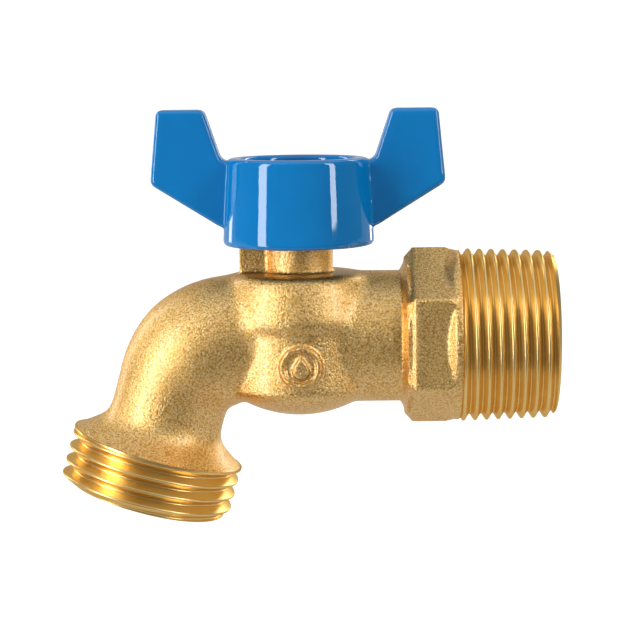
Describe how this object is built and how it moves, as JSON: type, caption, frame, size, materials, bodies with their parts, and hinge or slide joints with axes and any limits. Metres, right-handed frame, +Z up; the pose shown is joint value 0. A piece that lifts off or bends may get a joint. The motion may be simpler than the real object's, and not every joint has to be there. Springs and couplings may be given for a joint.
{
  "type": "hose bib",
  "caption": "Quarter-turn brass hose bib: male pipe-thread inlet with a wrench hexagon, turned-down spout with a male hose thread, and a blue wing handle that turns an inner ball.",
  "frame": {"origin": "centre of the inlet's end face, on the pipe's axis", "axes": "+X out of the inlet towards the supply pipe, +Z up along the stem towards the handle, -Y towards the side with the raised mark"},
  "size_m": [0.0768, 0.027, 0.0639],
  "materials": {
    "cast_brass": "sand-cast and blasted, satin grain",
    "turned_brass": "turned bright",
    "chrome_plate": "polished plate",
    "ptfe": "waxy white",
    "black_rubber": "smooth",
    "blue_paint": "glossy powder coat over die-cast zinc",
    "stainless": "bright"
  },
  "bodies": {
    "valve": {"valve_body": "cast_brass", "inlet_adapter": "turned_brass", "adapter_seal": "black_rubber", "inlet_seat": "ptfe", "outlet_seat": "ptfe", "lower_packing": "ptfe", "upper_packing": "ptfe", "packing_gland": "turned_brass", "packing_nut": "turned_brass"},
    "handle": {"handle": "blue_paint", "stem": "turned_brass", "thrust_washer": "ptfe", "stem_o_ring": "black_rubber", "flat_washer": "stainless", "lock_washer": "stainless", "handle_screw": "stainless"},
    "ball": {"ball": "chrome_plate"}
  },
  "joints": [
    {"name": "handle_turn", "type": "hinge", "parent": "valve", "child": "handle", "pos_m": [-0.0395, 0, 0.02], "axis": [0, 0, 1], "range_deg": [-90, 0]},
    {"name": "ball_turn", "type": "hinge", "parent": "valve", "child": "ball", "pos_m": [-0.0395, 0, 0], "axis": [0, 0, 1], "range_deg": [-92, 2]}
  ],
  "couplings": [
    {"joint": "ball_turn", "follows": "handle_turn", "ratio": 1}
  ]
}
